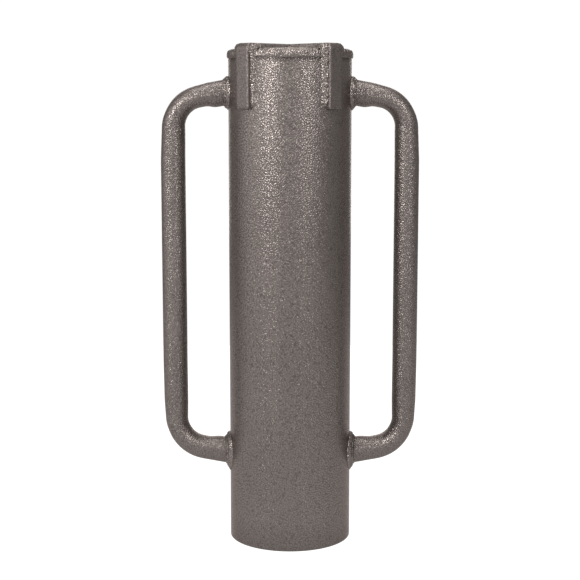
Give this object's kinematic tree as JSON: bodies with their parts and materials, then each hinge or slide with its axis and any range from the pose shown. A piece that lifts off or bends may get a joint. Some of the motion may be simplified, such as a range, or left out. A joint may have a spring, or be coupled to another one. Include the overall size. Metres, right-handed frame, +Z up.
{
  "type": "post driver",
  "caption": "Hand post driver: a tube with a welded cap plate under crossed straps and a bent tube handle welded to each side.",
  "frame": {"origin": "centre of the open bottom end, on the plane of its rim", "axes": "+Z up along the barrel, +X towards the right handle, -Y towards the front"},
  "size_m": [0.3166, 0.1532, 0.611],
  "materials": {
    "barrel_paint": "hammered metallic enamel, semi-gloss",
    "cap_paint": "hammered metallic enamel, semi-gloss",
    "strap_paint": "hammered metallic enamel, semi-gloss",
    "handle_paint": "hammered metallic enamel, semi-gloss",
    "weld_paint": "hammered metallic enamel over rippled weld beads"
  },
  "bodies": {
    "root": {"barrel": "barrel_paint", "end_cap": "cap_paint", "strap_through": "strap_paint", "strap_front_right": "strap_paint", "strap_back_left": "strap_paint", "crossing_welds": "weld_paint", "cap_weld_front": "weld_paint", "cap_weld_right": "weld_paint", "cap_weld_back": "weld_paint", "cap_weld_left": "weld_paint", "leg_weld_front_left_inner": "weld_paint", "leg_weld_front_left_outer": "weld_paint", "leg_weld_front_right_inner": "weld_paint", "leg_weld_front_right_outer": "weld_paint", "leg_weld_back_right_inner": "weld_paint", "leg_weld_back_right_outer": "weld_paint", "leg_weld_back_left_inner": "weld_paint", "leg_weld_back_left_outer": "weld_paint", "handle_left": "handle_paint", "handle_right": "handle_paint", "handle_weld_left_upper": "weld_paint", "handle_weld_left_lower": "weld_paint", "handle_weld_right_upper": "weld_paint", "handle_weld_right_lower": "weld_paint"}
  },
  "joints": []
}
